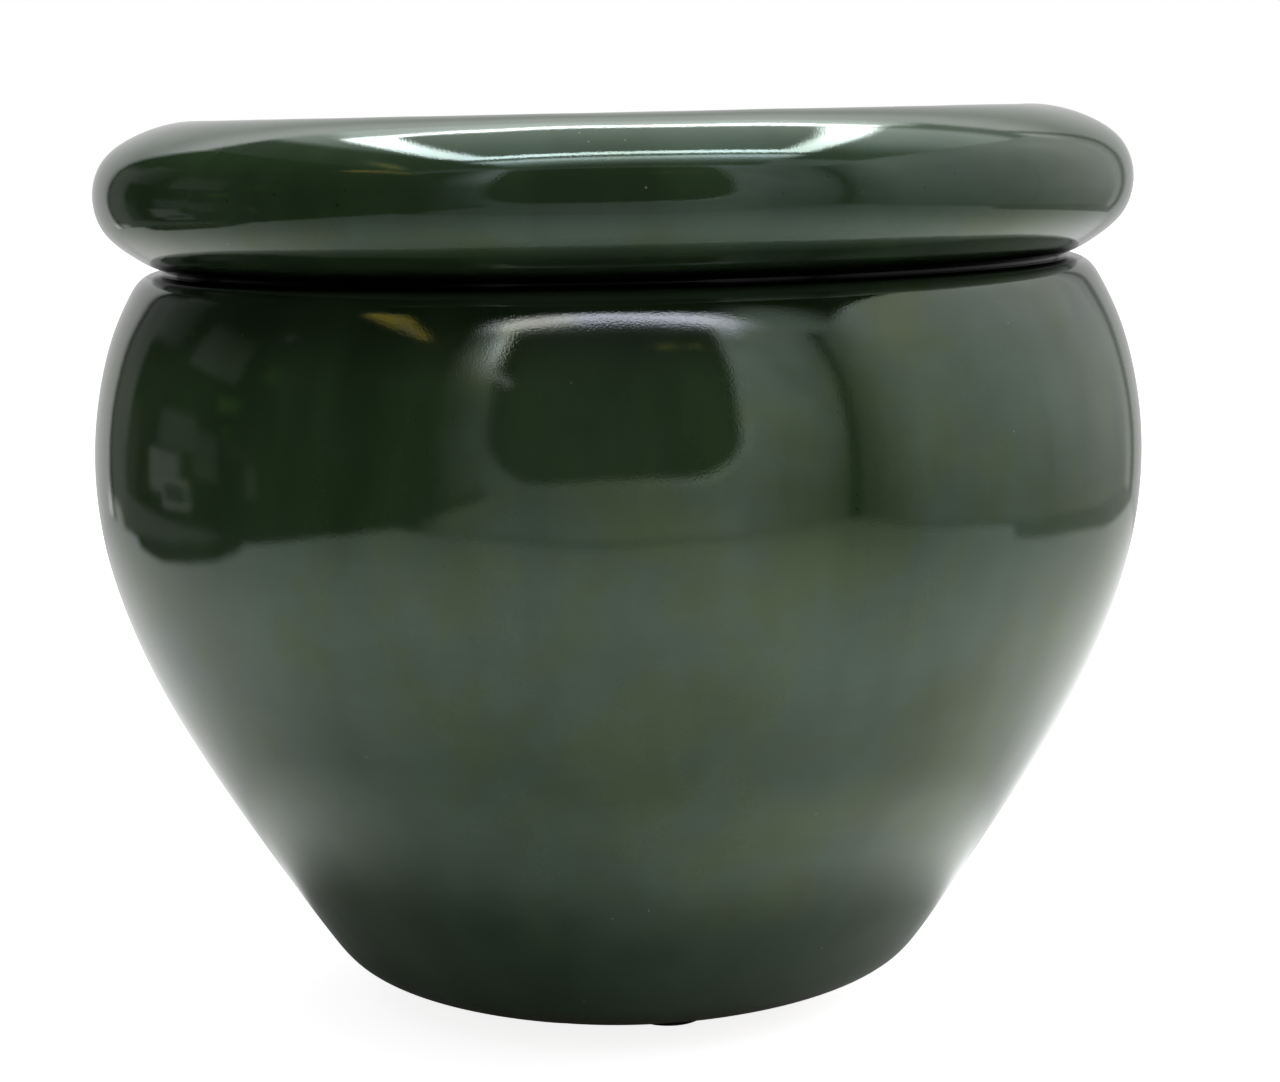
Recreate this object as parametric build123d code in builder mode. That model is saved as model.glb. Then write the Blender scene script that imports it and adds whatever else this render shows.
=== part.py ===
from build123d import *
import os
from math import hypot

# Glazed stoneware pot with a heavy rolled rim, in millimetres.
# +Z is up. The origin is on the axis of the pot, at the level of the
# surface that it stands on, which is the underside of its three rubber feet.
# -Y is the front.

# ---------------------------------------------------------------- driving sizes
overall_width = 200.0        # widest diameter of the body
body_height = 168.0          # from the underside of the clay foot to the rim crest
pad_thickness = 2.0          # rubber feet under the clay foot
pad_radius = 6.35
pad_circle = 28.6            # radius at which the feet are stuck
pad_angles = {"foot_pad_front": -75.0, "foot_pad_rear_right": 45.0, "foot_pad_rear_left": 165.0}

wall = 7.0                   # clay wall of the bowl
floor_top = 9.6              # height of the inside floor above the clay foot
foot_flat_radius = 38.64     # outside of the flat ring that carries the pot
recess_radius = 20.0         # shallow turned recess under the middle of the floor
recess_depth = 1.5

neck_outer_radius = 86.0     # collar that carries the rolled rim
neck_inner_radius = 67.2
seat_height = 140.4          # luted joint between collar and rim
slot_floor = 139.5           # bottom of the narrow slot beside the collar
slot_lip_radius = 86.6       # where the shoulder runs into the slot

roll_wall = 5.6              # clay thickness round the hollow in the rim
vent_radius = 1.5            # firing vent from the hollow down into the slot
vent_circle = 88.4

drain_radius = 9.0           # drain hole through the floor
plug_clearance = 0.08        # radial, at the top of the stem
plug_tip_radius = 8.3
plug_stem = 7.6
plug_flange_radius = 13.0
plug_flange = 2.6
plug_knob_height = 7.4

# Outside of the bowl, radius and height above the clay foot, from the edge of
# the flat foot up to the crest of the shoulder.
bowl_outer = [
    (45.82, 2.26), (55.01, 7.11), (59.13, 12.08), (67.68, 24.83),
    (79.27, 43.15), (89.46, 61.79), (96.75, 80.66), (overall_width / 2, 102.88),
    (97.42, 122.69), (94.88, 130.19), (92.59, 134.93), (89.80, 138.35),
    (87.70, 139.45),
]

# Outside of the rolled rim, from the outer edge of its seat, round the outside,
# over the crest and down the inside of the mouth.
roll_outer = [
    (88.30, 141.35), (91.20, 143.04), (96.64, 147.87),
    (98.40, 154.21), (96.34, 160.78), (90.26, 165.35), (84.48, 167.36),
    (79.36, body_height), (73.44, 167.24), (67.68, 164.60), (63.44, 160.16),
    (61.68, 154.72), (62.08, 149.28), (64.00, 144.72),
]


def inset(points, distance):
    """Points moved in by a distance, square to the line through their neighbours.

    The points run anticlockwise round the clay, so the clay is on the left.
    """
    moved = []
    for i, (r, z) in enumerate(points):
        r0, z0 = points[max(i - 1, 0)]
        r1, z1 = points[min(i + 1, len(points) - 1)]
        run = hypot(r1 - r0, z1 - z0)
        moved.append((r - (z1 - z0) / run * distance, z + (r1 - r0) / run * distance))
    return moved


def lift(points):
    """Heights above the clay foot turned into heights above the standing surface."""
    return [(r, z + pad_thickness) for r, z in points]


os.makedirs("parts", exist_ok=True)

# ---------------------------------------------------------------- bowl
# One turned wall: flat foot ring, flared belly, shoulder, and the low collar
# that the rim is luted to.
outer_run = [(foot_flat_radius, 0.0)] + bowl_outer + [(slot_lip_radius, slot_floor)]
inner_run = inset([(foot_flat_radius, 0.0)] + bowl_outer, wall)
# The inside keeps to the belly and shoulder, then turns up into the collar.
inner_wall = inner_run[4:12]
inner_floor = [(34.4, floor_top), (41.2, 9.95), (47.6, 11.6), (53.0, 15.6), (57.4, 21.6)]
inner_top = [(82.2, 133.4), (76.6, 134.3), (71.7, 136.2), (68.8, 138.2), (neck_inner_radius, seat_height)]

with BuildPart() as bowl:
    with BuildSketch(Plane.XZ) as bowl_section:
        with BuildLine() as bowl_line:
            outer_curve = Spline(*lift(outer_run))
            slot_bottom = Line(outer_curve @ 1, lift([(neck_outer_radius, slot_floor)])[0])
            collar_side = Line(slot_bottom @ 1, lift([(neck_outer_radius, seat_height)])[0])
            seat = Line(collar_side @ 1, lift([(neck_inner_radius, seat_height)])[0])
            inner_curve = Spline(*lift((inner_floor + inner_wall + inner_top)[::-1]))
            inside_floor = Line(inner_curve @ 1, lift([(drain_radius, floor_top)])[0])
            drain_side = Line(inside_floor @ 1, lift([(drain_radius, recess_depth)])[0])
            recess_roof = Line(drain_side @ 1, lift([(recess_radius - recess_depth, recess_depth)])[0])
            recess_edge = Line(recess_roof @ 1, lift([(recess_radius, 0.0)])[0])
            foot = Line(recess_edge @ 1, outer_curve @ 0)
        make_face()
    revolve(axis=Axis.Z)
    # eased lower edge of the drain hole
    hole_rims = (
        bowl.edges()
        .filter_by(GeomType.CIRCLE)
        .filter_by(lambda e: abs(e.radius - drain_radius) < 0.01)
    )
    fillet(hole_rims.sort_by(Axis.Z)[0], radius=0.8)
bowl.part.label = "bowl"
export_step(bowl.part, "parts/bowl.step")

# ---------------------------------------------------------------- rolled rim
# A hollow roll of clay, flat where it is luted to the collar.
roll_run = [(neck_outer_radius, seat_height)] + roll_outer + [(neck_inner_radius, seat_height)]
hollow_points = [(79.6, 146.1), (86.4, 146.6)] + inset(roll_outer, roll_wall)[2:-1] + [(72.4, 146.2)]

with BuildPart() as rolled_rim:
    with BuildSketch(Plane.XZ) as roll_section:
        with BuildLine() as roll_line:
            roll_curve = Spline(*lift(roll_run))
            roll_seat = Line(roll_curve @ 1, roll_curve @ 0)
        make_face()
        with BuildLine(mode=Mode.PRIVATE) as hollow_line:
            Spline(*lift(hollow_points), periodic=True)
        add(make_face(hollow_line.edges(), mode=Mode.PRIVATE), mode=Mode.SUBTRACT)
    revolve(axis=Axis.Z)
    # firing vent at the back, out of sight in the slot under the roll
    with Locations((0, vent_circle, seat_height + pad_thickness - 3)):
        Cylinder(
            radius=vent_radius, height=13,
            align=(Align.CENTER, Align.CENTER, Align.MIN), mode=Mode.SUBTRACT,
        )
rolled_rim.part.label = "rolled_rim"
export_step(rolled_rim.part, "parts/rolled_rim.step")

# ---------------------------------------------------------------- drain plug
# Tapered rubber stopper. Its flange lies on the inside floor and a waisted
# knob gives the fingers something to pull.
floor_z = floor_top + pad_thickness
stem_top_radius = drain_radius - plug_clearance
with BuildPart() as drain_plug:
    with BuildSketch(Plane.XZ) as plug_section:
        with BuildLine() as plug_line:
            Polyline(
                (0, floor_z + plug_knob_height), (0, floor_z - plug_stem),
                (plug_tip_radius - 0.7, floor_z - plug_stem),
                (plug_tip_radius, floor_z - plug_stem + 0.7),
                (stem_top_radius, floor_z), (plug_flange_radius, floor_z),
                (plug_flange_radius, floor_z + plug_flange - 1.2),
            )
            ThreePointArc(
                (plug_flange_radius, floor_z + plug_flange - 1.2),
                (plug_flange_radius - 0.42, floor_z + plug_flange - 0.38),
                (plug_flange_radius - 1.4, floor_z + plug_flange),
            )
            Line((plug_flange_radius - 1.4, floor_z + plug_flange), (4.9, floor_z + plug_flange + 0.25))
            # waisted neck, then the rounded head with a flat top
            ThreePointArc(
                (4.9, floor_z + plug_flange + 0.25), (3.5, floor_z + 4.0), (4.1, floor_z + 5.3)
            )
            ThreePointArc(
                (4.1, floor_z + 5.3), (4.5, floor_z + 6.5), (3.4, floor_z + plug_knob_height)
            )
            Line((3.4, floor_z + plug_knob_height), (0, floor_z + plug_knob_height))
        make_face()
    revolve(axis=Axis.Z)
drain_plug.part.label = "drain_plug"
export_step(drain_plug.part, "parts/drain_plug.step")

# ---------------------------------------------------------------- rubber feet
# Three stick-on rubber discs, each with an eased lower edge.
for pad_name, pad_angle in pad_angles.items():
    with BuildPart() as foot_pad:
        with BuildSketch(Plane.XY) as pad_outline:
            with PolarLocations(pad_circle, 1, start_angle=pad_angle):
                Circle(pad_radius)
        extrude(amount=pad_thickness)
        fillet(foot_pad.edges().group_by(Axis.Z)[0], radius=0.5)
    foot_pad.part.label = pad_name
    export_step(foot_pad.part, f"parts/{pad_name}.step")
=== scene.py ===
import bpy, math
import numpy as np
from mathutils import Matrix, Vector


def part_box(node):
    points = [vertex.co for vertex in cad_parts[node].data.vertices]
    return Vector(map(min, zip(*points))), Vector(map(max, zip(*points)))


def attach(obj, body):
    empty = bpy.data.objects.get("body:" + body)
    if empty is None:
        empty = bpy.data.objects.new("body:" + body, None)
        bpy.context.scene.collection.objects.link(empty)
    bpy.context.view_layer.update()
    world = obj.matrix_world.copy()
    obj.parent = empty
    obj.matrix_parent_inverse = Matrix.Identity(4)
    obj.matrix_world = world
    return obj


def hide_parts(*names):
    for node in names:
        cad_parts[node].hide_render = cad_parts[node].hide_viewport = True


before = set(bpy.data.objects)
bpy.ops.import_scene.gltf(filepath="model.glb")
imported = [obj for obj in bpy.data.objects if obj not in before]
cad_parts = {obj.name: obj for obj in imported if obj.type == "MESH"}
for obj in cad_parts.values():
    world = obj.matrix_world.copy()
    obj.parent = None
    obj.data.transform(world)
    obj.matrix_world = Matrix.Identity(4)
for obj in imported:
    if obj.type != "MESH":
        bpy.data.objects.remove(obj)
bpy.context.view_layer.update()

# ------------------------------------------------------------------ the frame
# The turned profile is given in millimetres above the clay foot for a bowl
# 200 mm wide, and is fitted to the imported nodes.
bowl_lo, bowl_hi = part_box("bowl")
MM = (bowl_hi.x - bowl_lo.x) / 2 / 100.0
LIFT = bowl_lo.z
AXIS = Vector(((bowl_lo.x + bowl_hi.x) / 2, (bowl_lo.y + bowl_hi.y) / 2, 0))
scene = bpy.context.scene


# ------------------------------------------------------------------ node maths
class Val:
    """A socket that can be written into a formula."""

    def __init__(self, nt, socket):
        self.nt, self.socket = nt, socket

    def __add__(self, o): return math_node(self.nt, "ADD", self, o)
    def __radd__(self, o): return math_node(self.nt, "ADD", o, self)
    def __sub__(self, o): return math_node(self.nt, "SUBTRACT", self, o)
    def __rsub__(self, o): return math_node(self.nt, "SUBTRACT", o, self)
    def __mul__(self, o): return math_node(self.nt, "MULTIPLY", self, o)
    def __rmul__(self, o): return math_node(self.nt, "MULTIPLY", o, self)
    def __truediv__(self, o): return math_node(self.nt, "DIVIDE", self, o)
    def __rtruediv__(self, o): return math_node(self.nt, "DIVIDE", o, self)
    def __neg__(self): return math_node(self.nt, "MULTIPLY", self, -1.0)


def put(nt, socket, v):
    if isinstance(v, Val):
        nt.links.new(v.socket, socket)
    else:
        socket.default_value = v


def math_node(nt, op, a, b=0.0, c=None, clamp=False):
    n = nt.nodes.new("ShaderNodeMath")
    n.operation, n.use_clamp = op, clamp
    put(nt, n.inputs[0], a)
    if len(n.inputs) > 1:
        put(nt, n.inputs[1], b)
    if c is not None:
        put(nt, n.inputs[2], c)
    return Val(nt, n.outputs[0])


def vmax(a, b): return math_node((a if isinstance(a, Val) else b).nt, "MAXIMUM", a, b)
def vmin(a, b): return math_node((a if isinstance(a, Val) else b).nt, "MINIMUM", a, b)
def vabs(a): return math_node(a.nt, "ABSOLUTE", a)
def vsqrt(a): return math_node(a.nt, "SQRT", a)
def vexp(a): return math_node(a.nt, "EXPONENT", a)
def vpow(a, b): return math_node(a.nt, "POWER", a, b)


def ramp(x, a, b, lo=0.0, hi=1.0, kind="SMOOTHSTEP"):
    """lo at or before a, hi at or after b; a may be the larger."""
    if a > b:
        a, b, lo, hi = b, a, hi, lo
    n = x.nt.nodes.new("ShaderNodeMapRange")
    n.interpolation_type = kind
    n.clamp = True
    put(x.nt, n.inputs[0], x)
    for i, v in enumerate((a, b, lo, hi)):
        n.inputs[i + 1].default_value = v
    return Val(x.nt, n.outputs[0])


def band(x, a, b, soft):
    """1 between a and b, with soft edges."""
    return ramp(x, a - soft, a + soft) * ramp(x, b + soft, b - soft)


def mixf(f, a, b):
    return a + (b - a) * f if isinstance(b, Val) or isinstance(a, Val) else f * (b - a) + a


def mixc(nt, f, a, b):
    n = nt.nodes.new("ShaderNodeMix")
    n.data_type = "RGBA"
    put(nt, n.inputs[0], f)
    for i, v in ((6, a), (7, b)):
        if isinstance(v, Val):
            nt.links.new(v.socket, n.inputs[i])
        else:
            n.inputs[i].default_value = (*v, 1.0)
    return Val(nt, n.outputs[2])


def scalec(nt, c, f):
    """A colour times a number."""
    n = nt.nodes.new("ShaderNodeVectorMath")
    n.operation = "SCALE"
    if isinstance(c, Val):
        nt.links.new(c.socket, n.inputs[0])
    else:
        n.inputs[0].default_value = c
    put(nt, n.inputs["Scale"], f)
    return Val(nt, n.outputs[0])


def addc(nt, a, b):
    n = nt.nodes.new("ShaderNodeVectorMath")
    n.operation = "ADD"
    for i, v in ((0, a), (1, b)):
        if isinstance(v, Val):
            nt.links.new(v.socket, n.inputs[i])
        else:
            n.inputs[i].default_value = v
    return Val(nt, n.outputs[0])


def world_xyz(nt):
    g = nt.nodes.new("ShaderNodeNewGeometry")
    s = nt.nodes.new("ShaderNodeSeparateXYZ")
    nt.links.new(g.outputs["Position"], s.inputs[0])
    return [Val(nt, s.outputs[i]) for i in range(3)]


def object_coords(nt):
    t = nt.nodes.new("ShaderNodeTexCoord")
    s = nt.nodes.new("ShaderNodeSeparateXYZ")
    nt.links.new(t.outputs["Object"], s.inputs[0])
    return Val(nt, t.outputs["Object"]), [Val(nt, s.outputs[i]) for i in range(3)]


def combine(nt, x, y, z):
    n = nt.nodes.new("ShaderNodeCombineXYZ")
    for i, v in enumerate((x, y, z)):
        put(nt, n.inputs[i], v)
    return Val(nt, n.outputs[0])


def noise(nt, vec, scale, detail=3.0, rough=0.5, distort=0.0):
    n = nt.nodes.new("ShaderNodeTexNoise")
    nt.links.new(vec.socket, n.inputs["Vector"])
    n.inputs["Scale"].default_value = scale
    n.inputs["Detail"].default_value = detail
    n.inputs["Roughness"].default_value = rough
    n.inputs["Distortion"].default_value = distort
    return Val(nt, n.outputs[0])


def voronoi(nt, vec, scale, feature="F1", out="Distance", randomness=1.0):
    n = nt.nodes.new("ShaderNodeTexVoronoi")
    n.feature = feature
    nt.links.new(vec.socket, n.inputs["Vector"])
    n.inputs["Scale"].default_value = scale
    n.inputs["Randomness"].default_value = randomness
    return Val(nt, n.outputs[out])


def new_material(name):
    m = bpy.data.materials.new(name)
    m.use_nodes = True
    m.node_tree.nodes.clear()
    return m, m.node_tree


# ------------------------------------------------------------------ turned forms
def spline(points, step=0.7, ends=None):
    """A natural cubic through the points, sampled about every step millimetres."""
    p = np.array(points, float)
    h = np.linalg.norm(np.diff(p, axis=0), axis=1)
    t = np.concatenate([[0], np.cumsum(h)])
    n = len(p)
    a = np.zeros((n, n))
    b = np.zeros((n, 2))
    a[0, 0] = a[-1, -1] = 1
    for i in range(1, n - 1):
        a[i, i - 1], a[i, i], a[i, i + 1] = h[i - 1], 2 * (h[i - 1] + h[i]), h[i]
        b[i] = 6 * ((p[i + 1] - p[i]) / h[i] - (p[i] - p[i - 1]) / h[i - 1])
    m = np.linalg.solve(a, b)
    out = []
    for i in range(n - 1):
        k = max(2, int(round(h[i] / step)))
        for j in range(k):
            s = j / k * h[i]
            u, v = h[i] - s, s
            out.append(m[i] * u ** 3 / (6 * h[i]) + m[i + 1] * v ** 3 / (6 * h[i])
                       + (p[i] / h[i] - m[i] * h[i] / 6) * u + (p[i + 1] / h[i] - m[i + 1] * h[i] / 6) * v)
    out.append(p[-1])
    return np.array(out)


def straight(a, b, step=1.2):
    a, b = np.array(a, float), np.array(b, float)
    k = max(1, int(round(np.linalg.norm(b - a) / step)))
    return np.array([a + (b - a) * i / k for i in range(k + 1)])


def eased(a, corner, b, radius, n=5):
    """Points round a corner, from the a side to the b side."""
    a, c, b = (np.array(v, float) for v in (a, corner, b))
    u, v = (a - c) / np.linalg.norm(a - c), (b - c) / np.linalg.norm(b - c)
    p0, p1 = c + u * radius, c + v * radius
    return np.array([(1 - s) ** 2 * p0 + 2 * s * (1 - s) * c + s * s * p1 for s in np.linspace(0, 1, n)])


def chain(runs, radii):
    """Runs of points joined into one closed loop, with an eased corner between each run and the next."""
    loop = []
    for i, run in enumerate(runs):
        r0, r1 = radii[i - 1], radii[i]
        d0 = np.linalg.norm(run - run[0], axis=1)
        d1 = np.linalg.norm(run - run[-1], axis=1)
        keep = run[(d0 > r0 * 1.3) & (d1 > r1 * 1.3)]
        loop.append(keep)
        nxt = runs[(i + 1) % len(runs)]
        a = run[np.argmin(np.abs(d1 - r1 * 1.3))] if len(run) > 2 else run[0]
        dn = np.linalg.norm(nxt - nxt[0], axis=1)
        b = nxt[np.argmin(np.abs(dn - r1 * 1.3))] if len(nxt) > 2 else nxt[-1]
        if np.linalg.norm(a - run[-1]) < 1e-6:
            a = run[-2]
        if np.linalg.norm(b - nxt[0]) < 1e-6:
            b = nxt[1]
        loop.append(eased(a, run[-1], b, r1))
    return np.concatenate(loop)


def mesh_object(name, verts, faces, smooth=True):
    me = bpy.data.meshes.new(name)
    me.from_pydata([tuple(v) for v in verts], [], faces)
    me.validate()
    me.polygons.foreach_set("use_smooth", [smooth] * len(me.polygons))
    me.update()
    ob = bpy.data.objects.new(name, me)
    scene.collection.objects.link(ob)
    return ob


def ring_mesh(name, grid):
    """A closed loop (rows) turned round the axis (columns): grid is rows x columns x 3, in metres."""
    n, s = grid.shape[:2]
    idx = np.arange(n * s).reshape(n, s)
    a, b = idx, np.roll(idx, -1, 1)
    c, d = np.roll(b, -1, 0), np.roll(a, -1, 0)
    faces = np.stack([a, b, c, d], -1).reshape(-1, 4)
    return mesh_object(name, grid.reshape(-1, 3), faces.tolist())


def wave_field(seed, count, shortest, longest, radius=90.0):
    """Gentle unevenness left by throwing and firing: waves over angle and height, in millimetres."""
    rng = np.random.default_rng(seed)
    waves = []
    for _ in range(count):
        length = shortest * (longest / shortest) ** rng.random()
        way = rng.random() * 2 * math.pi
        order = round(2 * math.pi * radius / length * math.cos(way))
        kz = 2 * math.pi / length * math.sin(way)
        waves.append((order, kz, rng.random() * 2 * math.pi, (length / longest) ** 1.2))
    total = math.sqrt(sum(w[3] ** 2 for w in waves) / 2)

    def field(theta, s):
        out = 0.0
        for order, kz, phase, amp in waves:
            out = out + amp * np.sin(order * theta + kz * s + phase)
        return out / total
    return field


def ovality(theta):
    """The pot is very slightly out of round, alike in the bowl and the roll, in millimetres (never outwards)."""
    return -0.10 + 0.05 * np.cos(2 * theta + 0.6) + 0.03 * np.cos(3 * theta - 1.1)


def turned(name, loop, segments, bump, oval=True):
    """The loop turned round the axis. bump(theta, r, z, s) is the offset along the outward normal in mm."""
    theta = np.linspace(0, 2 * math.pi, segments, endpoint=False)
    nxt, prv = np.roll(loop, -1, 0), np.roll(loop, 1, 0)
    tangent = nxt - prv
    tangent /= np.linalg.norm(tangent, axis=1)[:, None]
    normal = np.stack([tangent[:, 1], -tangent[:, 0]], 1)
    step = np.linalg.norm(np.diff(np.concatenate([loop, loop[:1]]), axis=0), axis=1)
    s = np.concatenate([[0], np.cumsum(step)])[:-1]
    r, z, s2 = loop[:, 0][:, None], loop[:, 1][:, None], s[:, None]
    off = bump(theta[None, :], r, z, s2, normal)
    rr = r + normal[:, 0][:, None] * off
    zz = z + normal[:, 1][:, None] * off
    if oval:
        rr = rr + ovality(theta)[None, :] * np.clip((rr - 30) / 30, 0, 1)
    x, y = rr * np.cos(theta), rr * np.sin(theta)
    grid = np.stack([x * MM + AXIS.x, y * MM + AXIS.y, zz * MM + LIFT + 0 * x], -1)
    return ring_mesh(name, grid)


def inset(points, distance):
    moved = []
    for i, (r, z) in enumerate(points):
        r0, z0 = points[max(i - 1, 0)]
        r1, z1 = points[min(i + 1, len(points) - 1)]
        run = math.hypot(r1 - r0, z1 - z0)
        moved.append((r - (z1 - z0) / run * distance, z + (r1 - r0) / run * distance))
    return moved


FOOT_R, FLOOR_Z, SEAT_Z, SLOT_Z = 38.64, 9.6, 140.4, 139.76
NECK_R, NECK_IN = 86.0, 67.2
bowl_outer = [
    (45.82, 2.26), (55.01, 7.11), (59.13, 12.08), (67.68, 24.83),
    (79.27, 43.15), (89.46, 61.79), (96.75, 80.66), (100.0, 102.88),
    (97.42, 122.69), (94.88, 130.19), (92.59, 134.93), (91.5, 136.815),
    (90.5, 138.083), (89.3, 139.0), (88.0, 139.527), (87.3, 139.679),
]
roll_outer = [
    (88.30, 141.35), (91.20, 143.04), (96.64, 147.87),
    (98.40, 154.21), (96.34, 160.78), (90.26, 165.35), (84.48, 167.36),
    (79.36, 168.0), (73.44, 167.24), (67.68, 164.60), (63.44, 160.16),
    (61.68, 154.72), (62.08, 149.28), (64.00, 144.72),
]
outer_curve = spline([(FOOT_R, 0.0)] + bowl_outer + [(86.6, SLOT_Z)])
inner_wall = inset([(FOOT_R, 0.0)] + bowl_outer, 7.0)[4:12]
inner_curve = spline(([(34.4, FLOOR_Z), (41.2, 9.95), (47.6, 11.6), (53.0, 15.6), (57.4, 21.6)]
                      + inner_wall
                      + [(82.2, 133.4), (76.6, 134.3), (71.7, 136.2), (68.8, 138.2), (NECK_IN, SEAT_Z)])[::-1], 1.0)
bowl_loop = chain(
    [
        outer_curve,
        straight((86.6, SLOT_Z), (NECK_R, SLOT_Z), 0.2),
        straight((NECK_R, SLOT_Z), (NECK_R, SEAT_Z), 0.3),
        straight((NECK_R, SEAT_Z), (NECK_IN, SEAT_Z), 1.5),
        inner_curve,
        straight((34.4, FLOOR_Z), (9.0, FLOOR_Z), 1.0),
        straight((9.0, FLOOR_Z), (9.0, 1.5), 0.8),
        straight((9.0, 1.5), (18.5, 1.5), 0.9),
        straight((18.5, 1.5), (20.0, 0.0), 0.5),
        straight((20.0, 0.0), (FOOT_R, 0.0), 1.0),
    ],
    [0.12, 0.15, 0.1, 0.3, 0.8, 0.25, 0.8, 0.4, 0.5, 0.5],
)
low_waves = wave_field(11, 26, 14.0, 46.0)
throw_waves = wave_field(5, 14, 9.0, 22.0)


def smooth01(x, a, b):
    t = np.clip((x - a) / (b - a), 0, 1)
    return t * t * (3 - 2 * t)


def glaze_edge(theta):
    """Height of the glaze's lower edge above the clay foot, in mm, round the outside."""
    return 1.15 + 0.35 * np.sin(3 * theta + 0.7) + 0.25 * np.sin(7 * theta + 2.1) + 0.16 * np.sin(17 * theta) + 0.1 * np.sin(31 * theta + 1.0)


def inner_edge(theta):
    """Height of the glaze's lower edge inside the bowl, with slow runs, in mm."""
    runs = 0.0
    rng = np.random.default_rng(3)
    for _ in range(15):
        at, wide, deep = rng.random() * 2 * math.pi, 0.05 + 0.06 * rng.random(), 4 + 11 * rng.random()
        d = np.angle(np.exp(1j * (theta - at)))
        runs = runs - deep * np.exp(-(d / wide) ** 2)
    return 96 + 3.0 * np.sin(2 * theta + 1) + 1.8 * np.sin(5 * theta) + 1.0 * np.sin(11 * theta + 2) + runs


def bowl_bump(theta, r, z, s, normal):
    outside = smooth01(normal[:, 0][:, None] * 0 + r, 40, 55) * (s < len(outer_curve)) * 1.0
    on_outer = (s <= np.linalg.norm(np.diff(outer_curve, axis=0), axis=1).sum() + 0.5).astype(float)
    fade = smooth01(z, 3.0, 16.0) * (1 - smooth01(z, 135.5, 138.8))
    out = on_outer * fade * 0.022 * (low_waves(theta, s) - 1.2)
    # the clay is lower than the glaze where the glaze stops above the foot
    bare = 1 - smooth01(z - glaze_edge(theta), -0.12, 0.28)
    out = out - on_outer * 0.22 * bare * smooth01(r, 39.2, 41.0)
    # throwing rings and unevenness inside; the glaze stops in slow runs
    inside = (1 - on_outer) * (r > 34.0) * (z > FLOOR_Z - 0.2) * (1 - smooth01(z, 134, 139))
    ring = np.sin(2 * math.pi * z / 7.5 + 0.8 * np.sin(theta + 0.4) + theta)
    out = out + inside * (-0.28 + 0.09 * ring + 0.05 * throw_waves(theta, s))
    bare_in = 1 - smooth01(z - inner_edge(theta), -1.6, 2.3)
    out = out - inside * 0.32 * bare_in
    floor_part = (1 - on_outer) * (r < 40) * (r > 14.5) * (z > 8)
    spiral = np.sin(2 * math.pi * r / 5.2 + theta)
    out = out + floor_part * smooth01(r, 14.5, 18) * (-0.16 + 0.09 * spiral)
    # turning marks under the foot
    under = (z < 2.0) * (r > 10.5) * (r < 38.0) * (1 - on_outer)
    out = out + under * (-0.035 + 0.03 * np.sin(2 * math.pi * r / 1.9 + 0.3 * np.sin(theta)))
    return out


roll_curve = spline([(NECK_R, SEAT_Z)] + roll_outer + [(NECK_IN, SEAT_Z)], 0.55)
roll_loop = chain([roll_curve, straight((NECK_IN, SEAT_Z), (NECK_R, SEAT_Z), 1.5)], [0.3, 0.12])
roll_waves = wave_field(23, 26, 14.0, 46.0, 92.0)


def roll_bump(theta, r, z, s, normal):
    fade = smooth01(z, 141.5, 146.0)
    return fade * (0.020 * (roll_waves(theta, s) - 1.2) - 0.05)


bowl = turned("bowl_body", bowl_loop, 360, bowl_bump)
roll = turned("rim_roll", roll_loop, 360, roll_bump)


# ------------------------------------------------------------------ rubber pieces
def lathe(profile, segments, at=(0.0, 0.0), wave=None):
    """An open profile from the axis back to the axis, turned: vertices and faces in metres."""
    verts, faces = [], []
    theta = np.linspace(0, 2 * math.pi, segments, endpoint=False)
    rows = []
    for k, (r, z) in enumerate(profile):
        if r < 1e-6:
            rows.append([len(verts)])
            verts.append((at[0] * MM + AXIS.x, at[1] * MM + AXIS.y, z * MM))
        else:
            rows.append(list(range(len(verts), len(verts) + segments)))
            for t in theta:
                q = r + (wave(t, r, z) if wave else 0.0)
                verts.append(((at[0] + q * math.cos(t)) * MM + AXIS.x, (at[1] + q * math.sin(t)) * MM + AXIS.y, z * MM))
    for a, b in zip(rows[:-1], rows[1:]):
        for i in range(segments):
            j = (i + 1) % segments
            if len(a) == 1 and len(b) == 1:
                continue
            if len(a) == 1:
                faces.append((a[0], b[j], b[i]))
            elif len(b) == 1:
                faces.append((a[i], a[j], b[0]))
            else:
                faces.append((a[i], a[j], b[j], b[i]))
    return verts, faces


def polyline(points, radii, steps=5):
    """A polyline with its inner corners eased."""
    out = [np.array(points[0], float)]
    for i in range(1, len(points) - 1):
        r = radii[i - 1]
        if r <= 0:
            out.append(np.array(points[i], float))
        else:
            out.extend(eased(points[i - 1], points[i], points[i + 1], r, steps))
    out.append(np.array(points[-1], float))
    return out


PAD_H = LIFT / MM


def pad_piece(name, node):
    lo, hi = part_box(node)
    cx, cy = ((lo.x + hi.x) / 2 - AXIS.x) / MM, ((lo.y + hi.y) / 2 - AXIS.y) / MM
    rad = (hi.x - lo.x) / 2 / MM
    # from the middle of the underside, out over the moulded ring, up the bulged side to the adhesive
    profile = polyline(
        [(0, 0.10), (1.55, 0.10), (1.75, 0.0), (2.15, 0.0), (2.35, 0.10), (rad - 1.45, 0.02), (rad - 0.55, 0.05),
         (rad - 0.02, 0.55), (rad - 0.04, 1.15), (rad - 0.16, 1.72), (rad - 0.42, 1.76), (rad - 0.42, 1.80),
         (rad - 0.28, 1.82), (rad - 0.28, PAD_H), (0, PAD_H)],
        [0.08, 0.06, 0.06, 0.08, 0.3, 0.3, 0.28, 0.3, 0.05, 0.0, 0.0, 0.02, 0.03], 4)
    profile = profile[::-1]
    verts, faces = lathe([(p[0], p[1]) for p in profile], 96, (cx, cy))
    return mesh_object(name, verts, faces)


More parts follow.
